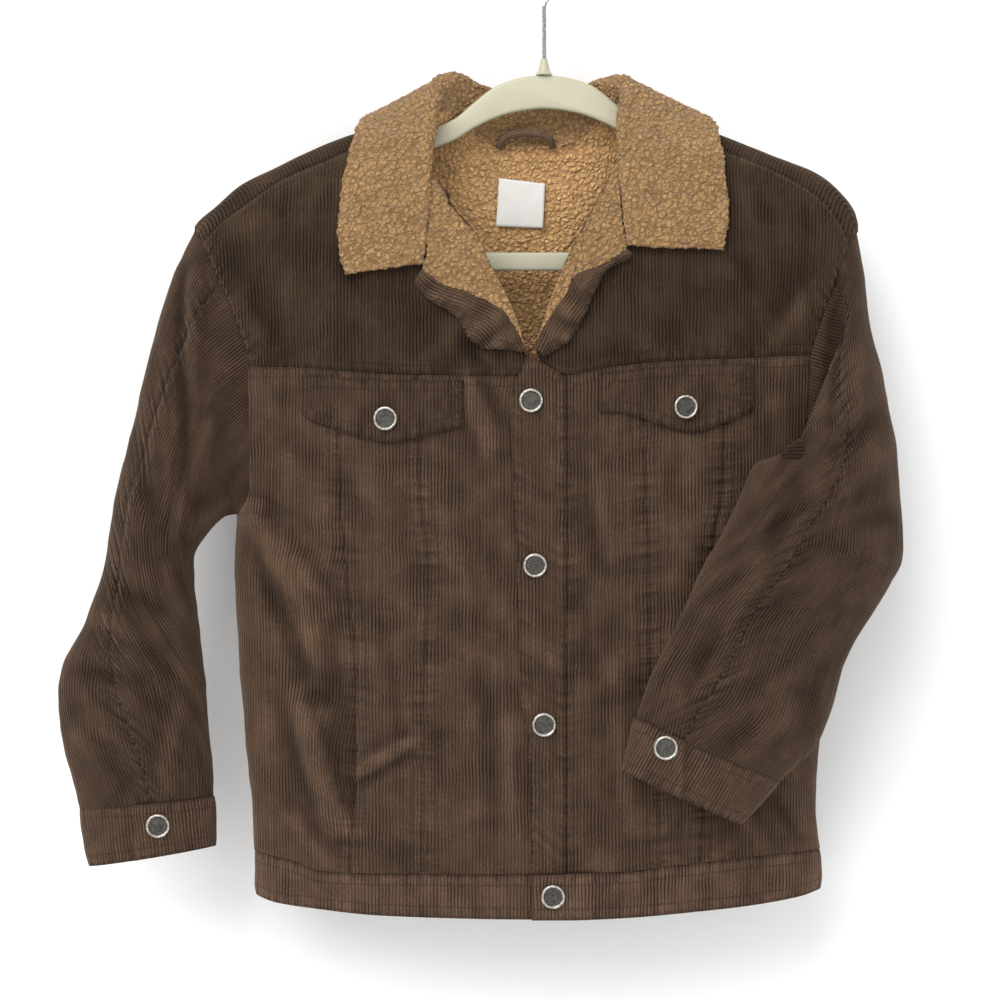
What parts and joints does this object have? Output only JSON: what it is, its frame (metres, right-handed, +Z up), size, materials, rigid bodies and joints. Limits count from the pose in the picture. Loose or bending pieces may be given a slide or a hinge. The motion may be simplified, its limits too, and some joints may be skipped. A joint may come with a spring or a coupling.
{
  "type": "sherpa lined corduroy jacket on a clothes hanger",
  "caption": "Boxy corduroy trucker jacket with sherpa collar and lining, flapped pockets, snap placket and band cuffs, hung open at the neck on a flat hanger with a wire hook.",
  "frame": {"origin": "inside top of the hanger's hook, where it rests on the rail", "axes": "+Z up, the jacket's front faces -Y, +X to the viewer's right"},
  "size_m": [0.5887, 0.1344, 0.676],
  "materials": {
    "corduroy": "brown needlecord, fine upright wales",
    "sherpa": "tan curly sherpa pile",
    "label": "plain white woven label",
    "snap": "bright rim, dull grey centre",
    "hanger": "cream moulded plastic",
    "wire": "bright steel wire"
  },
  "bodies": {
    "root": {"front_yoke_left": "corduroy", "front_yoke_right": "corduroy", "back_yoke": "corduroy", "front_side_left": "corduroy", "front_middle_left": "corduroy", "front_centre_left": "corduroy", "front_centre_right": "corduroy", "front_middle_right": "corduroy", "front_side_right": "corduroy", "back_side_right": "corduroy", "back_centre": "corduroy", "back_side_left": "corduroy", "placket": "corduroy", "hem_band_left": "corduroy", "hem_band_right": "corduroy", "hem_band_back": "corduroy", "sleeve_front_left": "corduroy", "sleeve_back_left": "corduroy", "sleeve_front_right": "corduroy", "sleeve_back_right": "corduroy", "cuff_left": "corduroy", "cuff_right": "corduroy", "under_collar": "corduroy", "front_facing_left": "corduroy", "front_facing_right": "corduroy", "pocket_flap_left": "corduroy", "pocket_flap_right": "corduroy", "hanging_loop": "corduroy", "collar": "sherpa", "lapel_lining_left": "sherpa", "lapel_lining_right": "sherpa", "lining_front_left": "sherpa", "lining_front_right": "sherpa", "lining_back": "sherpa", "neck_label": "label", "snap_front_1": "snap", "snap_front_2": "snap", "snap_front_3": "snap", "snap_front_4": "snap", "snap_pocket_left": "snap", "snap_pocket_right": "snap", "snap_cuff_left": "snap", "snap_cuff_right": "snap", "hanger": "hanger", "hook_socket": "hanger", "hook": "wire"}
  },
  "joints": []
}
